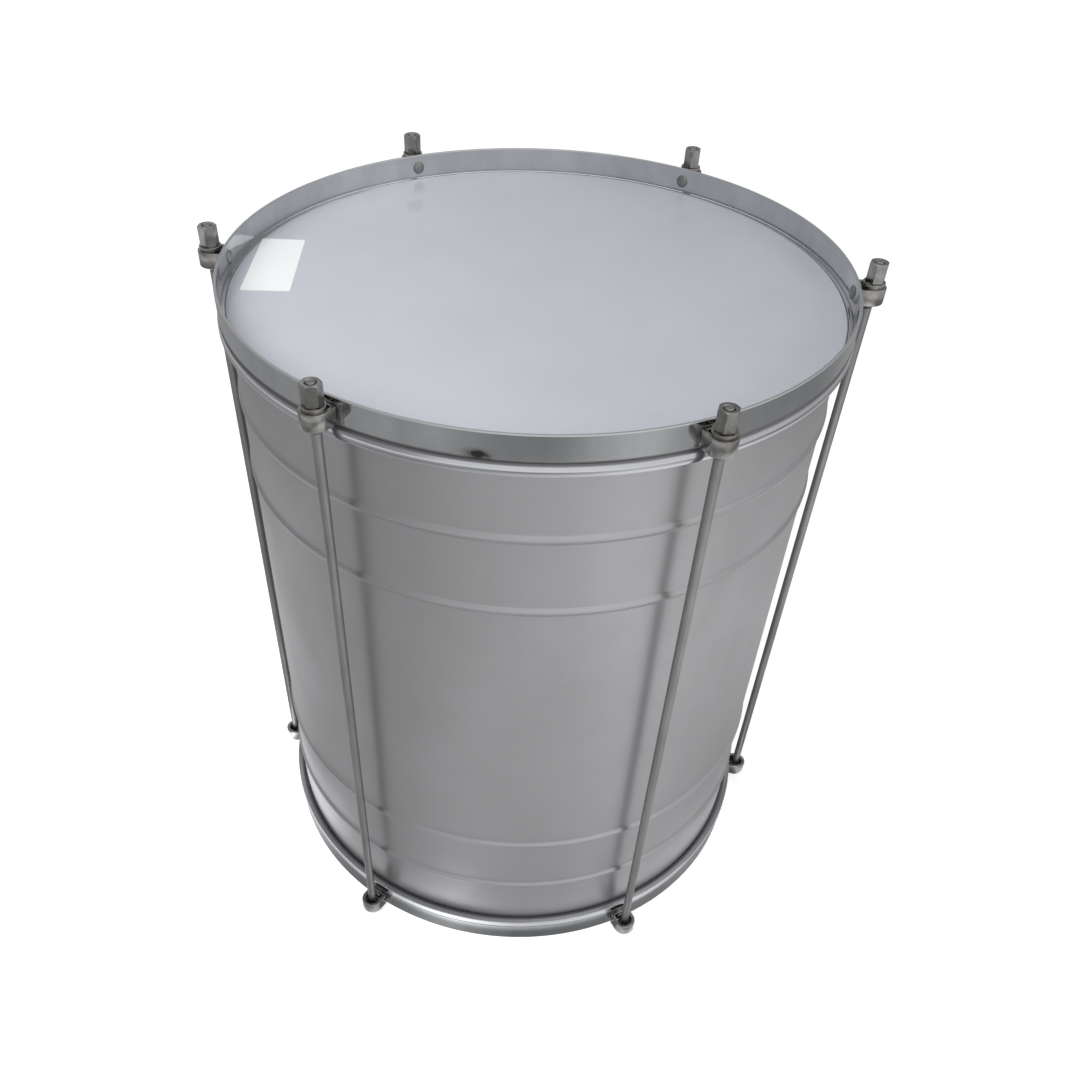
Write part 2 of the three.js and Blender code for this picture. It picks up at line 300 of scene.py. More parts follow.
def arc(x, z, radius, start, end, steps):
    # Points along an arc, angles in degrees
    angles = [math.radians(start + (end - start) * i / steps) for i in range(steps + 1)]
    return [(x + radius * math.cos(a), z + radius * math.sin(a)) for a in angles]


def profilePoints(outline):
    return [(r, 0, z) for r, z in outline]


def closeOutline(outline):
    return outline + [outline[0]]


def otherEnd(outline):
    # The same outline at the drum's lower end
    return [(r, drum["height"] - z) for r, z in reversed(outline)]


flats = {"past": 2.4, "reach": 0.3}  # longer stretches are held this close to their ends


def holdFlats(outline):
    # A point close to each end of a long stretch: smoothing stays by the corners, and flats mirror as flats
    points, reach = [], flats["reach"]
    for (r, z), (nextR, nextZ) in zip(outline, outline[1:]):
        points.append((r, z))
        length = math.hypot(nextR - r, nextZ - z)
        if length > flats["past"]:
            alongR, alongZ = (nextR - r) * reach / length, (nextZ - z) * reach / length
            points += [(r + alongR, z + alongZ), (nextR - alongR, nextZ - alongZ)]
    return points + [outline[-1]]


def turnedPiece(name, outline, material, sides=drum["ringSides"]):
    thing = lineObject(name, profilePoints(holdFlats(outline)))
    return runTree(thing, turnProfile, {"Sides": sides, "Material": material})


def atStations(thing, material):
    return runTree(thing, setAtStations, {"Count": drum["stations"], "Material": material})


def numbered(name):
    return [f"{name}_{i + 1}" for i in range(drum["stations"])]


# Materials

def newMaterial(name, colour, metallic, roughness, ior=1.5):
    material = bpy.data.materials.new(name)
    material.use_nodes = True
    tree = material.node_tree
    shader = tree.nodes["Principled BSDF"]
    shader.inputs["Base Color"].default_value = linearColour(colour)
    shader.inputs["Metallic"].default_value = metallic
    shader.inputs["Roughness"].default_value = roughness
    shader.inputs["IOR"].default_value = ior
    coordinates = tree.nodes.new("ShaderNodeTexCoord")
    return material, tree, shader, coordinates.outputs["Object"]


def patternNoise(tree, coordinates, size, detail=3.0, rough=0.55, span=(0.3, 0.7)):
    # Noise whose blobs are about size millimetres along x, y and z, its span spread over 0 to 1
    scaled = addNode(tree, "ShaderNodeMapping", {"Vector": coordinates, "Scale": [1000 / s for s in size]})
    noise = addNode(tree, "ShaderNodeTexNoise",
                    {"Vector": scaled, "Scale": 1.0, "Detail": detail, "Roughness": rough})
    return addNode(tree, "ShaderNodeMapRange",
                   {"Value": noise.outputs["Fac"], "From Min": span[0], "From Max": span[1]})


def varyFinish(tree, shader, coordinates, look, shade, clouds, rough, detail, finer):
    # The shade leads to the darker colour, clouds add to the roughness, and slow waves bend what is mirrored
    colour = addNode(tree, "ShaderNodeMix", {0: shade, 6: linearColour(look["colour"]),
                                             7: linearColour(look["darker"])}, data_type="RGBA")
    rougher = addNode(tree, "ShaderNodeMath", {0: clouds, 1: look["cloudRough"], 2: rough},
                      operation="MULTIPLY_ADD")
    waves = patternNoise(tree, coordinates, look["waves"], detail)
    slow = addNode(tree, "ShaderNodeBump",
                   {"Height": waves, "Strength": 1.0, "Distance": look["waveDepth"] / 1000, **finer})
    tree.links.new(colour.outputs[2], shader.inputs["Base Color"])
    tree.links.new(rougher.outputs[0], shader.inputs["Roughness"])
    tree.links.new(slow.outputs[0], shader.inputs["Normal"])


def metalFinish(name, look):
    # Metal with lines from how it was worked, clouding and smudges, and a slow waviness. Real lines are about
    # 0.1 mm apart: each finish draws them at 0.6 to 0.9 mm, which is as fine as the render can show
    material, tree, shader, coordinates = newMaterial(name, look["colour"], 1.0, look["roughness"])
    lines = patternNoise(tree, coordinates, look["lines"], 2.0)
    clouds = patternNoise(tree, coordinates, look["clouds"], 4.0)
    worn = addNode(tree, "ShaderNodeMath", {0: lines, 1: look["lineShade"]}, operation="MULTIPLY")
    shade = addNode(tree, "ShaderNodeMath", {0: clouds, 1: look["cloudShade"], 2: worn},
                    operation="MULTIPLY_ADD")
    rough = addNode(tree, "ShaderNodeMath", {0: lines, 1: look["lineRough"], 2: look["roughness"]},
                    operation="MULTIPLY_ADD")
    fine = addNode(tree, "ShaderNodeBump",
                   {"Height": lines, "Strength": 1.0, "Distance": look["lineDepth"] / 1000})
    varyFinish(tree, shader, coordinates, look, shade, clouds, rough, 2.0, {"Normal": fine})
    return material, tree, shader, coordinates


def patchMask(tree, coordinates, patch):
    # 1 inside a box or smudge of ragged outline: middle and half sizes in millimetres, raggedness, softness
    middle, scale = [m / 1000 for m in patch["middle"]], [1000 / s for s in patch["half"]]
    offset = addNode(tree, "ShaderNodeVectorMath", {0: coordinates, 1: middle}, operation="SUBTRACT")
    scaled = addNode(tree, "ShaderNodeVectorMath", {0: offset, 1: scale}, operation="MULTIPLY")
    away = addNode(tree, "ShaderNodeVectorMath", {0: scaled}, operation="LENGTH").outputs["Value"]
    ragged = patternNoise(tree, coordinates, patch["grain"], 3.0)
    edge = addNode(tree, "ShaderNodeMath", {0: ragged, 1: patch["ragged"], 2: away}, operation="MULTIPLY_ADD")
    return addNode(tree, "ShaderNodeMapRange", {"Value": edge, "From Min": 1.0 + patch["soft"],
                                                "From Max": 1.0 - patch["soft"]})


def endMask(tree, coordinates, end):
    # Rises from 0 to 1 between two distances from the drum's half height, in millimetres, alike at both ends
    height = addNode(tree, "ShaderNodeSeparateXYZ", {0: coordinates}).outputs[2]
    offset = addNode(tree, "ShaderNodeMath", {0: height, 1: drum["height"] / 2000}, operation="SUBTRACT")
    away = addNode(tree, "ShaderNodeMath", {0: offset}, operation="ABSOLUTE")
    return addNode(tree, "ShaderNodeMapRange", {"Value": away, "From Min": end["start"] / 1000,
                                                "From Max": end["full"] / 1000})


def fromAxis(tree, coordinates, behind=0.0):
    # Level distance from the drum's axis, or from a line some metres behind it
    level = addNode(tree, "ShaderNodeVectorMath", {0: coordinates, 1: (1, 1, 0)}, operation="MULTIPLY")
    return addNode(tree, "ShaderNodeVectorMath", {0: level, 1: (0, behind, 0)},
                   operation="DISTANCE").outputs["Value"]


def cornerMask(tree, coordinates, corner, soft=0.25):
    # 1 close to a circle round the drum's axis: its radius, its height and the reach of the painted shade and
    # dust, in millimetres
    height = addNode(tree, "ShaderNodeSeparateXYZ", {0: coordinates}).outputs[2]
    section = addNode(tree, "ShaderNodeCombineXYZ", {0: fromAxis(tree, coordinates), 1: height})
    circle = (corner["radius"] / 1000, corner["height"] / 1000, 0)
    near = addNode(tree, "ShaderNodeVectorMath", {0: section, 1: circle}, operation="DISTANCE")
    return addNode(tree, "ShaderNodeMapRange", {"Value": near.outputs["Value"],
                                                "From Min": corner["reach"] * (1 + soft) / 1000,
                                                "From Max": corner["reach"] * (1 - soft) / 1000})


def layOver(tree, shader, mask, look):
    # Another colour and roughness over a finish, where the mask is 1
    below = shader.inputs["Base Color"].links[0].from_socket
    shown = addNode(tree, "ShaderNodeMix", {0: mask, 6: below, 7: linearColour(look["colour"])},
                    data_type="RGBA")
    tree.links.new(shown.outputs[2], shader.inputs["Base Color"])
    smooth = shader.inputs["Roughness"].links[0].from_socket
    rough = addNode(tree, "ShaderNodeMix", {0: mask, 2: smooth, 3: look["roughness"]}, data_type="FLOAT")
    tree.links.new(rough.outputs[0], shader.inputs["Roughness"])


# Rolled aluminium sheet with a satin finish: soft upright bands of light, faint lines round the drum
satinRolledAluminium, shellTree, shellShader, shellPlace = metalFinish("satinRolledAluminium", {
    "colour": "#bdbdbf", "darker": "#afafb0", "roughness": 0.36,
    "lines": (90, 90, 0.9), "lineShade": 0.2, "lineRough": 0.03, "lineDepth": 0.0015,
    "clouds": (60, 60, 90), "cloudShade": 0.45, "cloudRough": 0.06,
    "waves": (140, 140, 110), "waveDepth": 0.35,
})
for name, value in {"Anisotropic": 0.6, "Anisotropic Rotation": 0.25}.items():
    shellShader.inputs[name].default_value = value  # lines round the drum spread the light up and down
roundTheDrum = addNode(shellTree, "ShaderNodeTangent", direction_type="RADIAL", axis="Z")
shellTree.links.new(roundTheDrum.outputs[0], shellShader.inputs["Tangent"])
# The sheet's welded seam, ground flush, down the drum's back
seam = {"middle": (0, 205, 249), "half": (2.2, 60, 5000), "grain": (1.5, 1.5, 4), "ragged": 0.25, "soft": 0.3,
        "colour": "#acaca9", "roughness": 0.4}
layOver(shellTree, shellShader, patchMask(shellTree, shellPlace, seam), seam)

# Drawn aluminium channel, bright and nearly smooth: sharp highlights with faint lines along the hoop
brightAluminium, fleshTree, fleshShader, fleshPlace = metalFinish("brightDrawnAluminium", {
    "colour": "#d3d4d8", "darker": "#bbbcc0", "roughness": 0.13,
    "lines": (60, 60, 0.7), "lineShade": 0.15, "lineRough": 0.04, "lineDepth": 0.0015,
    "clouds": (25, 25, 12), "cloudShade": 0.3, "cloudRough": 0.05,
    "waves": (70, 70, 40), "waveDepth": 0.06,
})
# Painted shade with dust, grey and dull, under the upper counterhoop's foot and where the lower ledge meets
# the shell
hoopFoot = {"radius": 209.3, "height": 481.0, "reach": 1.7}
ledgeCorner = {"radius": 204.8, "height": 26.0, "reach": 1.9}
fleshShadeAndDust = {"colour": "#7f7f83", "roughness": 0.5}
for corner in (hoopFoot, ledgeCorner):
    layOver(fleshTree, fleshShader, cornerMask(fleshTree, fleshPlace, corner), fleshShadeAndDust)

# Cold rolled steel strip, polished and plated: mirrors its neighbours, wavy along its length
polishedStripSteel, hoopTree, hoopShader, hoopPlace = metalFinish("polishedStripSteel", {
    "colour": "#d1d4d5", "darker": "#b1b4b5", "roughness": 0.06,
    "lines": (120, 120, 0.8), "lineShade": 0.14, "lineRough": 0.01, "lineDepth": 0.0005,
    "clouds": (26, 26, 60), "cloudShade": 0.6, "cloudRough": 0.03,
    "waves": (34, 34, 90), "waveDepth": 0.22,
})
# The sheared edge is duller than the rolled face, and painted shade with dust darkens the foot along the head
shearedEdge = {"start": 248.5, "full": 248.9, "colour": "#c9cacc", "roughness": 0.45}
layOver(hoopTree, hoopShader, endMask(hoopTree, hoopPlace, shearedEdge), shearedEdge)
hoopFootShadeAndDust = {"colour": "#7d7d7c", "roughness": 0.4}
layOver(hoopTree, hoopShader, cornerMask(hoopTree, hoopPlace, hoopFoot), hoopFootShadeAndDust)
# The waves show on the inside face, while the outside lay flat against the rolls
rolledWaves = {"inside": 207.5, "outside": 208.5, "insideStrength": 1.0, "outsideStrength": 0.12}
waveStrength = addNode(hoopTree, "ShaderNodeMapRange", {
    "Value": fromAxis(hoopTree, hoopPlace), "From Min": rolledWaves["inside"] / 1000,
    "From Max": rolledWaves["outside"] / 1000, "To Min": rolledWaves["insideStrength"],
    "To Max": rolledWaves["outsideStrength"]})
waveBump = hoopShader.inputs["Normal"].links[0].from_node
hoopTree.links.new(waveStrength.outputs[0], waveBump.inputs["Strength"])
# A dark patch at the foot of the upper hoop's front
frontFootDarkPatch = {"middle": (-18.9, -208.1, 484.6), "half": (8.6, 5, 3.6), "grain": (3, 3, 3), "ragged": 0.3,
          "soft": 0.45, "colour": "#3f3e3a", "roughness": 0.5}
layOver(hoopTree, hoopShader, patchMask(hoopTree, hoopPlace, frontFootDarkPatch), frontFootDarkPatch)

# Zinc plated drawn steel rod: greyish, with lines along it
zincPlatedSteel = metalFinish("zincPlatedSteel", {
    "colour": "#a5a5a5", "darker": "#868685", "roughness": 0.32,
    "lines": (0.9, 0.9, 70), "lineShade": 0.4, "lineRough": 0.1, "lineDepth": 0.002,
    "clouds": (14, 14, 35), "cloudShade": 0.5, "cloudRough": 0.12,
    "waves": (20, 20, 60), "waveDepth": 0.02,
})[0]

# Nickel plated steel, dull from handling: dark faces with small bright edges
dullNickelPlate = metalFinish("dullNickelPlate", {
    "colour": "#b3b2af", "darker": "#6a6864", "roughness": 0.11,
    "lines": (5, 5, 0.6), "lineShade": 0.12, "lineRough": 0.03, "lineDepth": 0.001,
    "clouds": (8, 8, 10), "cloudShade": 0.75, "cloudRough": 0.12,
    "waves": (12, 12, 14), "waveDepth": 0.03,
})[0]


def filmMaterial(look):
    # Milky polyester film: a soft white body under a smooth skin that mirrors faintly
    material, tree, shader, coordinates = newMaterial("milkyPolyesterFilm", look["colour"], 0.0,
                                                      look["roughness"], look["ior"])
    clouds = patternNoise(tree, coordinates, look["clouds"], 3.0)
    varyFinish(tree, shader, coordinates, look, clouds, clouds, look["roughness"], 1.0, {})
    shader.inputs["Subsurface Weight"].default_value = look["milkiness"]
    shader.inputs["Subsurface Radius"].default_value = [look["lightDepth"] / 1000] * 3
    shader.inputs["Subsurface Scale"].default_value = 1.0
    return material


milkyPolyesterFilm = filmMaterial({
    "colour": "#c5c7d0", "darker": "#c0c2cb", "roughness": 0.12, "cloudRough": 0.06, "ior": 1.57,
    "milkiness": 0.15, "lightDepth": 3.0,
    "clouds": (70, 70, 70), "waves": (120, 120, 120), "waveDepth": 0.12,
})

# Coated label paper: white, nearly matt, with a grain that takes the shine off it
labelPaper, labelTree, labelShader, labelPlace = newMaterial("coatedLabelPaper", "#f1f2f4", 0.0, 0.5)
paperGrain = {"size": (0.6, 0.6, 0.6), "depth": 0.01}  # coarser than real fibres, so that it shows
labelBump = addNode(labelTree, "ShaderNodeBump",
                    {"Height": patternNoise(labelTree, labelPlace, paperGrain["size"]),
                     "Distance": paperGrain["depth"] / 1000})
labelTree.links.new(labelBump.outputs[0], labelShader.inputs["Normal"])
print("materials ready:", len(bpy.data.materials))


# Shell

shell = {
    "wall": 1.2, "edgeRadius": 2.5, "lip": 6.0,
    "beads": (72.7, 127.7, 370.7, 425.7), "beadWidth": 8.0, "beadRise": 1.6,
}


def sheetFace(radius, steps):
    points = []
    for height in shell["beads"]:
        for i in range(steps + 1):
            across = i / steps - 0.5
            points.append((radius + shell["beadRise"] * (1 + math.cos(2 * math.pi * across)) / 2,
                           height + shell["beadWidth"] * across))
    return points


def shellOutline():
    radius, low, high, edge, wall = (drum["shellRadius"], drum["shellBottom"], drum["shellTop"],
                                     shell["edgeRadius"], shell["wall"])
    centre, lip = radius - edge, radius - shell["lip"]
    return closeOutline([(lip, low), *arc(centre, low + edge, edge, -90, 0, 8), *sheetFace(radius, 24),
                         *arc(centre, high - edge, edge, 0, 90, 8), (lip, high), (lip, high - wall),
                         *arc(centre, high - edge, edge - wall, 90, 0, 3),
                         *reversed(sheetFace(radius - wall, 8)),
                         *arc(centre, low + edge, edge - wall, 0, -90, 3), (lip, low + wall)])


shellSheet = turnedPiece("shellSheet", shellOutline(), satinRolledAluminium)
fitPiece(shellSheet, "drum_body", ["shell"])

# Heads and flesh hoops

# Each end's CAD names, its body, and how an outline drawn for the upper end gets there
ends = {
    "upper": {"node": "batter", "body": "batter_assembly", "outline": list},
    "lower": {"node": "resonant", "body": "drum_body", "outline": otherEnd},
}
head = {
    "film": 0.5, "skirtRadius": 203.7, "bendRadius": 0.8, "slotDrop": 5.4, "hold": 3.2, "slotClearance": 0.3,
    "rings": (60, 130),      # circles that divide the playing face
    "fleshInside": 204.3, "fleshWidth": 5.7, "fleshHeight": 8.4, "fleshRound": 3.6, "fleshCorner": 0.5,
    "shoulder": {"upper": 5.9, "lower": 3.0},  # height of the rounding, which is an ellipse
}


def filmOutline():
    top, film, bend, skirt = drum["headTop"], head["film"], head["bendRadius"], head["skirtRadius"]
    centre, level, under = skirt - bend, top - film - bend, top - film
    slot, half, reach = top - head["slotDrop"], film / 2, head["fleshInside"] + head["hold"]
    return [(0, under), *((r, under) for r in head["rings"]),
            *arc(centre, level, bend, 90, 0, 6), (skirt, slot - half), (reach, slot - half),
            (reach, slot + half), (skirt + film, slot + half),
            *arc(centre, level, bend + film, 0, 90, 6),
            *((r, top) for r in reversed(head["rings"])), (0, top)]


def fleshOutline(drop):
    inside, outside = head["fleshInside"], head["fleshInside"] + head["fleshWidth"]
    top, low = drum["headTop"], drum["headTop"] - head["fleshHeight"]
    rounding, corner, clear = head["fleshRound"], head["fleshCorner"], head["slotClearance"]
    slot, half, end = top - head["slotDrop"], head["film"] / 2 + clear, inside + head["hold"] + clear
    shoulder = [(outside - rounding + rounding * c, top - drop + drop * s)
                for c, s in arc(0, 0, 1, 0, 90, 12)]
    return closeOutline([*arc(inside + corner, low + corner, corner, 180, 270, 3),
                         *arc(outside - corner, low + corner, corner, 270, 360, 3), *shoulder,
                         *arc(inside + corner, top - corner, corner, 90, 180, 3),
                         (inside, slot + half), (end, slot + half),
                         (end, slot - half), (inside, slot - half)])


for end, at in ends.items():
    film = turnedPiece(end + "Head", at["outline"](filmOutline()), milkyPolyesterFilm)
    fitPiece(film, at["body"], [at["node"] + "_film"])
    fleshLine = at["outline"](fleshOutline(head["shoulder"][end]))
    flesh = turnedPiece(end + "FleshHoop", fleshLine, brightAluminium)
    fitPiece(flesh, at["body"], [at["node"] + "_flesh_hoop"])

# Counterhoops

hoop = {"seat": 481.55, "edge": 0.6, "footEdge": 0.2}


def hoopOutline():
    inside, outside = drum["hoopRadius"] - drum["hoopWall"], drum["hoopRadius"]
    low, high, edge, foot = hoop["seat"], drum["height"], hoop["edge"], hoop["footEdge"]
    return closeOutline([*arc(inside + foot, low + foot, foot, 180, 270, 2),
                         *arc(outside - foot, low + foot, foot, 270, 360, 2),
                         *arc(outside - edge, high - edge, edge, 0, 90, 5),
                         *arc(inside + edge, high - edge, edge, 90, 180, 5)])


for end, at in ends.items():
    counterhoop = turnedPiece(end + "Counterhoop", at["outline"](hoopOutline()), polishedStripSteel)
    fitPiece(counterhoop, at["body"], [at["node"] + "_counterhoop"])
print("shell, heads and hoops made")

# Ears: strip bent into a loop round each rod

ear = {
    "strip": 3.0, "height": 10.6, "edge": 0.7, "bend": 3.4,
    "loopRadius": 5.775,     # inside
    "upperBottom": 483.9, "lowerBottom": 3.9,
}


def earLine(bottom):
    # The strip's middle line, round the rod and along the hoop
    middle, bend = ear["loopRadius"] + ear["strip"] / 2, ear["bend"] - ear["strip"] / 2
    bendX = drum["hoopRadius"] - drum["rodCircle"] + ear["bend"]
    bendY = ear["loopRadius"] + ear["strip"] - ear["bend"]
    line = [*arc(0, 0, middle, -90, 90, 24), *arc(bendX, bendY, bend, 90, 180, 6),
            *arc(bendX, -bendY, bend, 180, 270, 6)]
    return [(x + drum["rodCircle"], y, bottom + ear["height"] / 2) for x, y in line]


for end, at in ends.items():
    ears = lineObject(end + "Ears", earLine(ear[end + "Bottom"]), closed=True)
    runTree(ears, bendStrip, {"Thickness": ear["strip"] / 1000, "Height": ear["height"] / 1000,
                              "Edge": ear["edge"] / 1000, "Material": dullNickelPlate})
    fitPiece(atStations(ears, dullNickelPlate), at["body"], numbered(end + "_ear"))

# Rivets: a dome inside the hoop, the shank through it, and a flat upset end inside the ear

rivet = {
    "headRadius": 4.5, "headRise": 1.8, "shank": 2.4, "tailRadius": 3.6, "tailRise": 1.3, "tailRound": 0.5,
    "gap": 0.05,             # between head and hoop
    "sides": 40,
}


def rivetOutline():
    # Drawn upright at the drum's middle, head below
    seat, tail = drum["hoopRadius"] - drum["hoopWall"] - rivet["gap"], drum["hoopRadius"] + ear["strip"]
    rounding, last = rivet["tailRound"], tail + rivet["tailRise"]
    dome = [(rivet["headRadius"] * c, seat + rivet["headRise"] * s) for c, s in arc(0, 0, 1, -90, 0, 10)]
    return [*dome, (rivet["shank"], seat), (rivet["shank"], tail), (rivet["tailRadius"], tail),
            *arc(rivet["tailRadius"] - rounding, last - rounding, rounding, 0, 90, 4), (0, last)]


for end, at in ends.items():
    rivets = turnedPiece(end + "Rivets", rivetOutline(), zincPlatedSteel, rivet["sides"])
    raised = Matrix.Translation((0, 0, (ear[end + "Bottom"] + ear["height"] / 2) / 1000))
    rivets.data.transform(raised @ Matrix.Rotation(math.pi / 2, 4, "Y"))
    fitPiece(atStations(rivets, zincPlatedSteel), at["body"], numbered(end + "_rivet"))

# Washers

washer = {"inside": 3.575, "radius": 7.4, "low": 494.5, "high": 497.3, "corner": 0.5, "sides": 48}
toRodCircle = Matrix.Translation((drum["rodCircle"] / 1000, 0, 0))


def washerOutline():
    inside, radius, low, high, corner = (washer[k] for k in ("inside", "radius", "low", "high", "corner"))
    return closeOutline([(inside, low), (radius - corner, low),
                         *arc(radius - corner, high - corner, corner, 0, 90, 3), (inside, high)])


washers = turnedPiece("washers", washerOutline(), dullNickelPlate, washer["sides"])
washers.data.transform(toRodCircle)
fitPiece(atStations(washers, dullNickelPlate), "batter_assembly", numbered("washer"))

# Tension rods: a round head under the lower ear, a plain shank, and a rolled thread at the top

rod = {
    "bottom": 0.5, "headRadius": 7.0, "headTop": 3.88, "headRound": 1.2, "headEdge": 0.3,
    "tip": 510.5, "tipIn": 0.6, "tipDown": 0.5,  # chamfer at the tip
    "threadLength": 30.0, "threadRoot": 2.72, "threadCrest": 0.46, "pitch": 1.27,
    "runOut": 0.6, "bareTip": 1.2,  # between shank and root, and above the thread's last turn
    "sides": 32,
}


def rodOutline():
    radius, root, tip = drum["rodRadius"], rod["threadRoot"], rod["tip"]
    thread, bottom, top = tip - rod["threadLength"], rod["bottom"], rod["headTop"]
    rounding, edge = rod["headRound"], rod["headEdge"]
    return [(0, bottom), *arc(rod["headRadius"] - rounding, bottom + rounding, rounding, -90, 0, 6),
            *arc(rod["headRadius"] - edge, top - edge, edge, 0, 90, 3), (radius, top),
            (radius, thread - rod["runOut"]), (root, thread), (root, tip - rod["tipDown"]),
            (root - rod["tipIn"], tip), (0, tip)]


rods = lineObject("tensionRods", profilePoints(rodOutline()))
runTree(rods, rollThread, {
    "Sides": rod["sides"], "Root": rod["threadRoot"] / 1000, "Crest": rod["threadCrest"] / 1000,
    "Pitch": rod["pitch"] / 1000, "Turns": (rod["threadLength"] - rod["bareTip"]) / rod["pitch"],
    "Start": (rod["tip"] - rod["threadLength"]) / 1000, "Material": zincPlatedSteel})
rods.data.transform(toRodCircle)
fitPiece(atStations(rods, zincPlatedSteel), "drum_body", numbered("tension_rod"))

# Tuning nuts, one on its own body at each rod

nut = {
    "bottom": 497.32, "top": 510.1, "acrossFlats": 11.1, "bore": 3.25, "boreEdge": 0.5,
    "chamfer": 0.9, "chamferTurn": 30.0,
    "past": 0.2, "longer": 2,  # the turned form is wider than the hexagon, and the bar longer than the nut
    "sides": 96,
    "turns": (8, 21, 3, 26, 12, 17),  # how each one happens to stand
    "bevel": {"width": 0.16, "segments": 2, "past": 25},
}


def nutOutline():
    corner = nut["acrossFlats"] / 2 / math.cos(math.pi / 6)
    face, reach = corner - nut["chamfer"], corner + nut["past"]
    drop = (nut["chamfer"] + nut["past"]) * math.tan(math.radians(nut["chamferTurn"]))
    inside, low, high, edge = nut["bore"], nut["bottom"], nut["top"], nut["boreEdge"]
    return closeOutline([(inside + edge, low), (face, low), (reach, low + drop), (reach, high - drop),
                         (face, high), (inside + edge, high), (inside, high - edge), (inside, low + edge)])


for i, turn in enumerate(nut["turns"]):
    piece = lineObject(f"tuningNut{i + 1}", profilePoints(nutOutline()))
    station = 2 * math.pi * i / drum["stations"]
    runTree(piece, cutHexagon, {
        "Sides": nut["sides"], "Corner Radius": nut["acrossFlats"] / 2000 / math.cos(math.pi / 6),
        "Length": (nut["top"] - nut["bottom"] + nut["longer"]) / 1000,
        "Middle": (nut["top"] + nut["bottom"]) / 2000, "Turn": station + math.radians(turn),
        "Material": dullNickelPlate}, nut["bevel"])
    piece.data.transform(Matrix.Rotation(station, 4, "Z") @ toRodCircle @ Matrix.Rotation(-station, 4, "Z"))
    fitPiece(piece, f"nut_{i + 1}", [f"tuning_nut_{i + 1}"])
print("ears, rivets, washers, rods and nuts made")

# A blank sticker on the upper head

label = {
    "corners": ((-193.5, -31), (-160.5, -28.5), (-167.5, 51.5), (-198.0, 50.5)),
    "round": 2.0, "roundSteps": 6, "paper": 0.12, "lift": 0.01,
}


def labelOutline():
    # The corners, each cut to a small curve
    points, corners, steps = [], [Vector(c) for c in label["corners"]], label["roundSteps"]
    for i, corner in enumerate(corners):
        before = (corners[i - 1] - corner).normalized()
        after = (corners[(i + 1) % len(corners)] - corner).normalized()
        a, b = corner + before * label["round"], corner + after * label["round"]
        for t in (j / steps for j in range(steps + 1)):
            points.append(a * (1 - t) ** 2 + corner * 2 * t * (1 - t) + b * t ** 2)
    return points


def makeLabel():
    mesh = bpy.data.meshes.new("blankLabel")
    build = bmesh.new()
    level = (drum["headTop"] + label["lift"]) / 1000
    face = build.faces.new([build.verts.new((p.x / 1000, p.y / 1000, level)) for p in labelOutline()])
    lifted = bmesh.ops.extrude_face_region(build, geom=[face])["geom"]
    top = [part for part in lifted if isinstance(part, bmesh.types.BMVert)]
    bmesh.ops.translate(build, vec=(0, 0, label["paper"] / 1000), verts=top)
    bmesh.ops.recalc_face_normals(build, faces=build.faces)
    build.to_mesh(mesh)
    build.free()
    mesh.materials.append(labelPaper)
    thing = bpy.data.objects.new("blankLabel", mesh)
    scene.collection.objects.link(thing)
    return thing


sticker = makeLabel()
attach(sticker, "batter_assembly")
print("label made")


# Floor, world and lamps

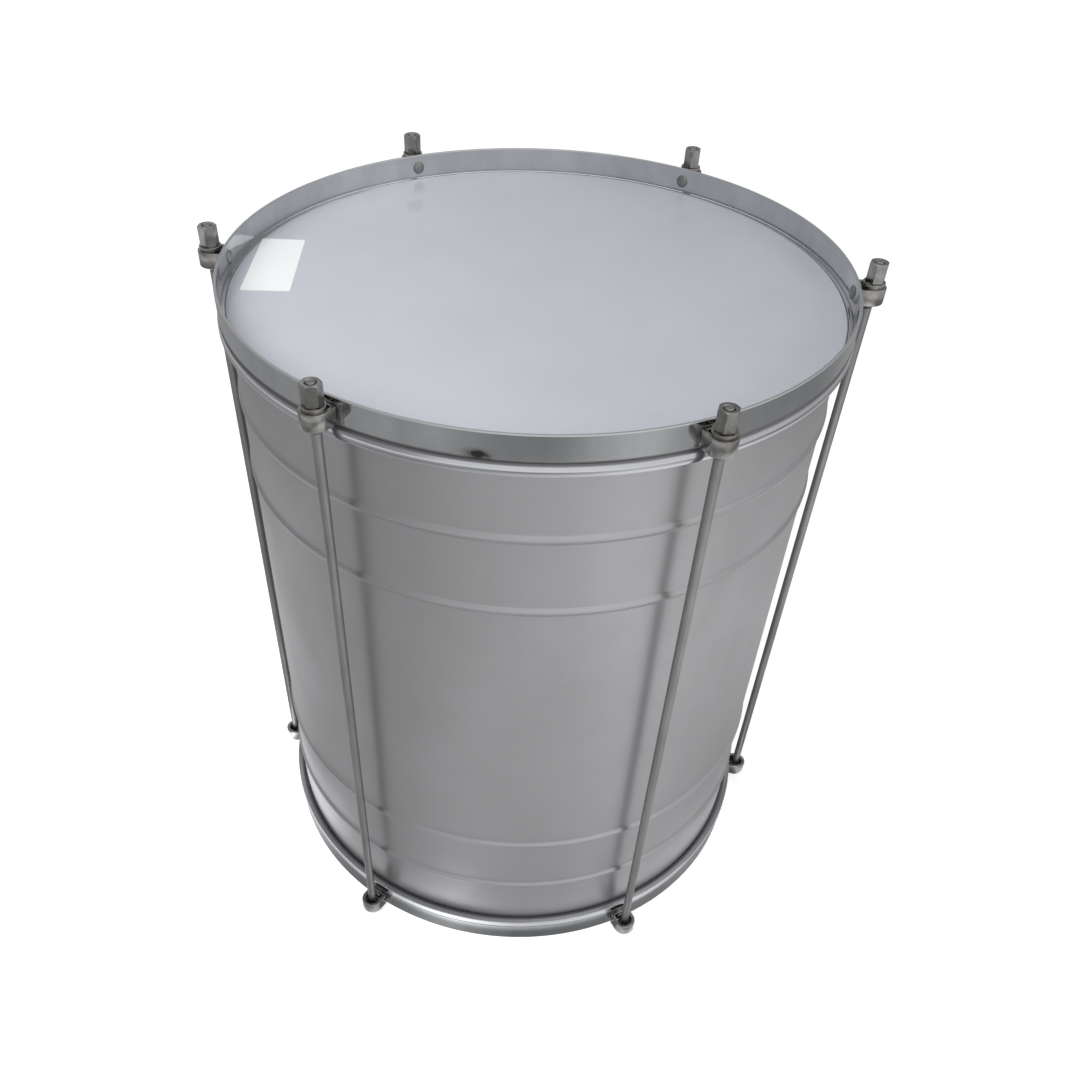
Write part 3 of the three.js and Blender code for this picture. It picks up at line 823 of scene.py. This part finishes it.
studio = {
    "floor": 16.0, "floorColour": "#d8d8da", "floorRoughness": 0.9,
    "floorLift": 0.7,  # its own glow, where it is seen directly
    "ambient": 0.38,   # the white world's light, while it is full white where it is seen
    "lamps": {
        # place, aim, width, height, watts: they light the drum, while the mirrored room gives its reflections
        "windowSoftbox": ((-0.62, -0.55, 1.25), (0, 0, 0.48), 1.0, 1.0, 12.0),
        "keySoftbox": ((1.7, -1.3, 1.3), (0, 0, 0.3), 1.3, 0.8, 8.0),
        "topSoftbox": ((0.1, 0.3, 2.6), (0, 0, 0.4), 1.2, 0.8, 2.0),
    },
    # The grey room that the metal mirrors
    "mirror": {"inside": 0.2094, "outside": 3.0, "low": 0.0002, "high": 5.8, "sides": 120},
    "blue": 1.01,  # times a grey's red and green
    # Floor rings from the axis outwards, each with the distances between which it takes over and its greys
    # by direction round the drum, from +X. Smooth ramps stop at 1: a higher grey only bends the curve
    "floorRings": {
        "foot": (0.1, 0.2, (
            (-180, 0.6), (-162, 0.42), (-150, 0.38), (-130, 0.35), (-116, 0.42), (-103, 0.46),
            (-90, 0.46), (-77, 0.46), (-62, 0.5), (-47, 0.54), (-18, 0.26), (3, 0.22), (49, 0.38),
            (105, 0.45), (124, 0.75), (148, 0.8), (160, 0.75), (171, 0.65), (180, 0.6),
        )),
        "near": (0.22, 0.5, (
            (-180, 0.75), (-162, 0.62), (-150, 0.6), (-130, 0.56), (-116, 0.63), (-103, 0.7), (-90, 0.71),
            (-77, 0.7), (-62, 0.76), (-47, 0.92), (-18, 0.86), (3, 0.74), (49, 0.63), (105, 0.6),
            (124, 0.8), (148, 0.85), (160, 0.85), (171, 0.8), (180, 0.75),
        )),
        "shellTop": (0.5, 0.82, (
            (-180, 0.33), (-150, 0.24), (-130, 0.14), (-116, 0.26), (-103, 0.44), (-90, 0.57), (-77, 0.7),
            (-64, 0.88), (-50, 1.12), (-40, 1.2), (-18, 1.1), (3, 0.78), (49, 0.45), (110, 0.4),
            (165, 0.34), (180, 0.33),
        )),
        "headHoop": (0.862, 0.874, (
            (-180, 0.32), (-128, 0.3), (-112, 0.26), (-103, 0.32), (-92, 0.56), (-77, 0.74), (-62, 0.9),
            (-48, 0.9), (-36, 0.5), (-15, 0.3), (3, 0.26), (25, 0.32), (60, 0.33), (180, 0.32),
        )),
        "counterhoop": (0.898, 0.912, (
            (-180, 0.35), (-150, 0.36), (-128, 0.38), (-116, 0.41), (-103, 0.3), (-90, 0.26), (-78, 0.27),
            (-66, 0.46), (-55, 0.63), (-46, 0.62), (-36, 0.34), (-15, 0.3), (0, 0.27), (18, 0.26),
            (40, 0.33), (55, 0.3), (70, 0.2), (100, 0.25), (122, 0.3), (140, 0.31), (165, 0.33),
            (180, 0.33),
        )),
        "bright": (1.2, 1.4, (
            (-180, 0.8), (-150, 0.95), (-128, 1.05), (-60, 1.0), (-35, 0.85), (-10, 0.75), (8, 0.6),
            (30, 0.45), (120, 0.45), (180, 0.7),
        )),
        "lowWall": (1.8, 2.2, (
            (-180, 0.3), (-140, 0.25), (-124, 0.38), (-113, 0.78), (-95, 0.84), (-60, 0.9), (-35, 0.75),
            (-10, 0.65), (8, 0.5), (30, 0.4), (120, 0.38), (180, 0.3),
        )),
    },
    # The shadow and the glare at the drum's foot: distance from a point just behind the axis, and grey
    "foot": (
        (0.209, 0.22), (0.2187, 0.24), (0.2199, 0.29), (0.2211, 0.39), (0.2223, 0.53), (0.2234, 0.73),
        (0.2245, 0.93), (0.2265, 1.03), (0.234, 1.0), (0.238, 0.7), (0.245, 0.55),
    ),
    # What direction multiplies the foot's grey by
    "footGlare": (
        (-180, 2.6), (-157, 2.7), (-150, 2.7), (-143, 1.9), (-136, 1.2), (-131, 1.0), (-116, 0.9),
        (-109, 1.45), (-102, 2.0), (-97, 1.6), (-91, 1.15), (-86, 0.9), (-80, 0.82), (-72, 0.84),
        (-66, 0.95), (-46, 1.15), (-36, 1.35), (-22, 1.35), (0, 1.1), (110, 1.6), (140, 2.6), (180, 2.6),
    ),
    "footBehind": 0.005,
    "footFade": (0.237, 0.255),   # distances between which the foot gives way to the rings
    "upperWallFrom": (1.1, 1.7),  # heights between which the wall turns to its upper greys
    "upperWall": (
        (-180, 0.5), (-120, 0.48), (-80, 0.8), (-40, 1.3), (0, 1.0), (30, 0.5), (60, 0.33), (88, 0.33),
        (104, 0.62), (117, 0.6), (132, 0.4), (155, 0.38), (180, 0.44),
    ),
}


def seenDirectly(tree):
    # 1 for camera, mirror and glass rays, which see the white background
    path = tree.nodes.new("ShaderNodeLightPath")
    first = addNode(tree, "ShaderNodeMath", {0: path.outputs["Is Camera Ray"],
                                             1: path.outputs["Is Glossy Ray"]}, operation="MAXIMUM")
    return addNode(tree, "ShaderNodeMath", {0: first, 1: path.outputs["Is Transmission Ray"]},
                   operation="MAXIMUM")


world = bpy.data.worlds.new("paleStudio")
scene.world = world
world.use_nodes = True
background = world.node_tree.nodes["Background"]
background.inputs["Color"].default_value = (1, 1, 1, 1)
strength = addNode(world.node_tree, "ShaderNodeMath",
                   {0: seenDirectly(world.node_tree), 1: 1 - studio["ambient"], 2: studio["ambient"]},
                   operation="MULTIPLY_ADD")
world.node_tree.links.new(strength.outputs[0], background.inputs["Strength"])

half = studio["floor"] / 2
corners = [(-half, -half, 0), (half, -half, 0), (half, half, 0), (-half, half, 0)]
floorObject = placeMesh("floor", corners, [], [(0, 1, 2, 3)])
floorMaterial, floorTree, floorShader = newMaterial("paleFloor", studio["floorColour"], 0.0,
                                                    studio["floorRoughness"])[:3]
lift = addNode(floorTree, "ShaderNodeMath", {0: seenDirectly(floorTree), 1: studio["floorLift"]},
               operation="MULTIPLY")
floorShader.inputs["Emission Color"].default_value = (1, 1, 1, 1)
floorTree.links.new(lift.outputs[0], floorShader.inputs["Emission Strength"])
floorObject.data.materials.append(floorMaterial)


def greyRamp(tree, factor, stops, between="B_SPLINE"):
    # A ramp of greys from the first stop to the last, as factor goes from 0 to 1. A smooth one stops at 1
    low, high = stops[0][0], stops[-1][0]
    ramp = addNode(tree, "ShaderNodeValToRGB", {"Fac": factor})
    ramp.color_ramp.interpolation = between
    elements = ramp.color_ramp.elements
    for stop in stops[1:-1]:
        elements.new((stop[0] - low) / (high - low))
    for element, (place, grey) in zip(elements, stops):
        element.position, element.color = (place - low) / (high - low), (grey, grey, grey * studio["blue"], 1)
    return ramp.outputs["Color"]


def roomCard():
    # The greys that glow from the room, by place on the floor and height on the wall
    material, tree, shader, place = newMaterial("greyRoomCard", "#000000", 0.0, 1.0)
    direction = addNode(tree, "ShaderNodeTexGradient", {"Vector": place},
                        gradient_type="RADIAL").outputs["Fac"]
    away, behind = fromAxis(tree, place), fromAxis(tree, place, studio["footBehind"])
    floorSeen = (0, 0, 0, 1)
    for start, full, greys in studio["floorRings"].values():
        taken = addNode(tree, "ShaderNodeMapRange", {"Value": away, "From Min": start, "From Max": full})
        floorSeen = addNode(tree, "ShaderNodeMix",
                            {0: taken, 6: floorSeen, 7: greyRamp(tree, direction, greys)},
                            data_type="RGBA").outputs[2]
    stops = studio["foot"]
    along = addNode(tree, "ShaderNodeMapRange",
                    {"Value": behind, "From Min": stops[0][0], "From Max": stops[-1][0]})
    foot = greyRamp(tree, along, stops, "LINEAR")
    glare = greyRamp(tree, direction, studio["footGlare"], "LINEAR")  # it goes over 1
    lit = addNode(tree, "ShaderNodeVectorMath", {0: foot, 1: glare}, operation="MULTIPLY")
    start, full = studio["footFade"]
    fade = addNode(tree, "ShaderNodeMapRange", {"Value": behind, "From Min": start, "From Max": full})
    seen = addNode(tree, "ShaderNodeMix", {0: fade, 6: lit, 7: floorSeen}, data_type="RGBA").outputs[2]
    height = addNode(tree, "ShaderNodeSeparateXYZ", {0: place}).outputs[2]
    start, full = studio["upperWallFrom"]
    above = addNode(tree, "ShaderNodeMapRange", {"Value": height, "From Min": start, "From Max": full})
    upperWall = greyRamp(tree, direction, studio["upperWall"])
    room = addNode(tree, "ShaderNodeMix", {0: above, 6: seen, 7: upperWall}, data_type="RGBA").outputs[2]
    glow = addNode(tree, "ShaderNodeEmission", {"Color": room})
    tree.links.new(glow.outputs[0], tree.nodes["Material Output"].inputs["Surface"])
    tree.nodes.remove(shader)
    return material


def mirroredRoom():
    # A floor ring with a wall round it that only mirror rays meet, so that the metal has greys to show
    inside, outside, low, high, sides = studio["mirror"].values()
    points = [(radius * math.cos(2 * math.pi * i / sides), radius * math.sin(2 * math.pi * i / sides), height)
              for radius, height in ((inside, low), (outside, low), (outside, high)) for i in range(sides)]
    faces = [(i + ring, i + ring + sides, j + ring + sides, j + ring)
             for ring in (0, sides) for i, j in ((i, (i + 1) % sides) for i in range(sides))]
    card = placeMesh("mirroredRoom", points, [], faces)
    card.data.materials.append(roomCard())
    card.visible_camera = card.visible_diffuse = card.visible_transmission = card.visible_shadow = False


mirroredRoom()
for name, (place, aim, width, height, watts) in studio["lamps"].items():
    lamp = bpy.data.lights.new(name, "AREA")
    lamp.shape, lamp.size, lamp.size_y, lamp.energy = "RECTANGLE", width, height, watts
    lampObject = bpy.data.objects.new(name, lamp)
    lampObject.location = place
    lampObject.visible_glossy = False
    lampObject.rotation_euler = (Vector(aim) - Vector(place)).to_track_quat("-Z", "Y").to_euler()
    scene.collection.objects.link(lampObject)
print("studio ready")
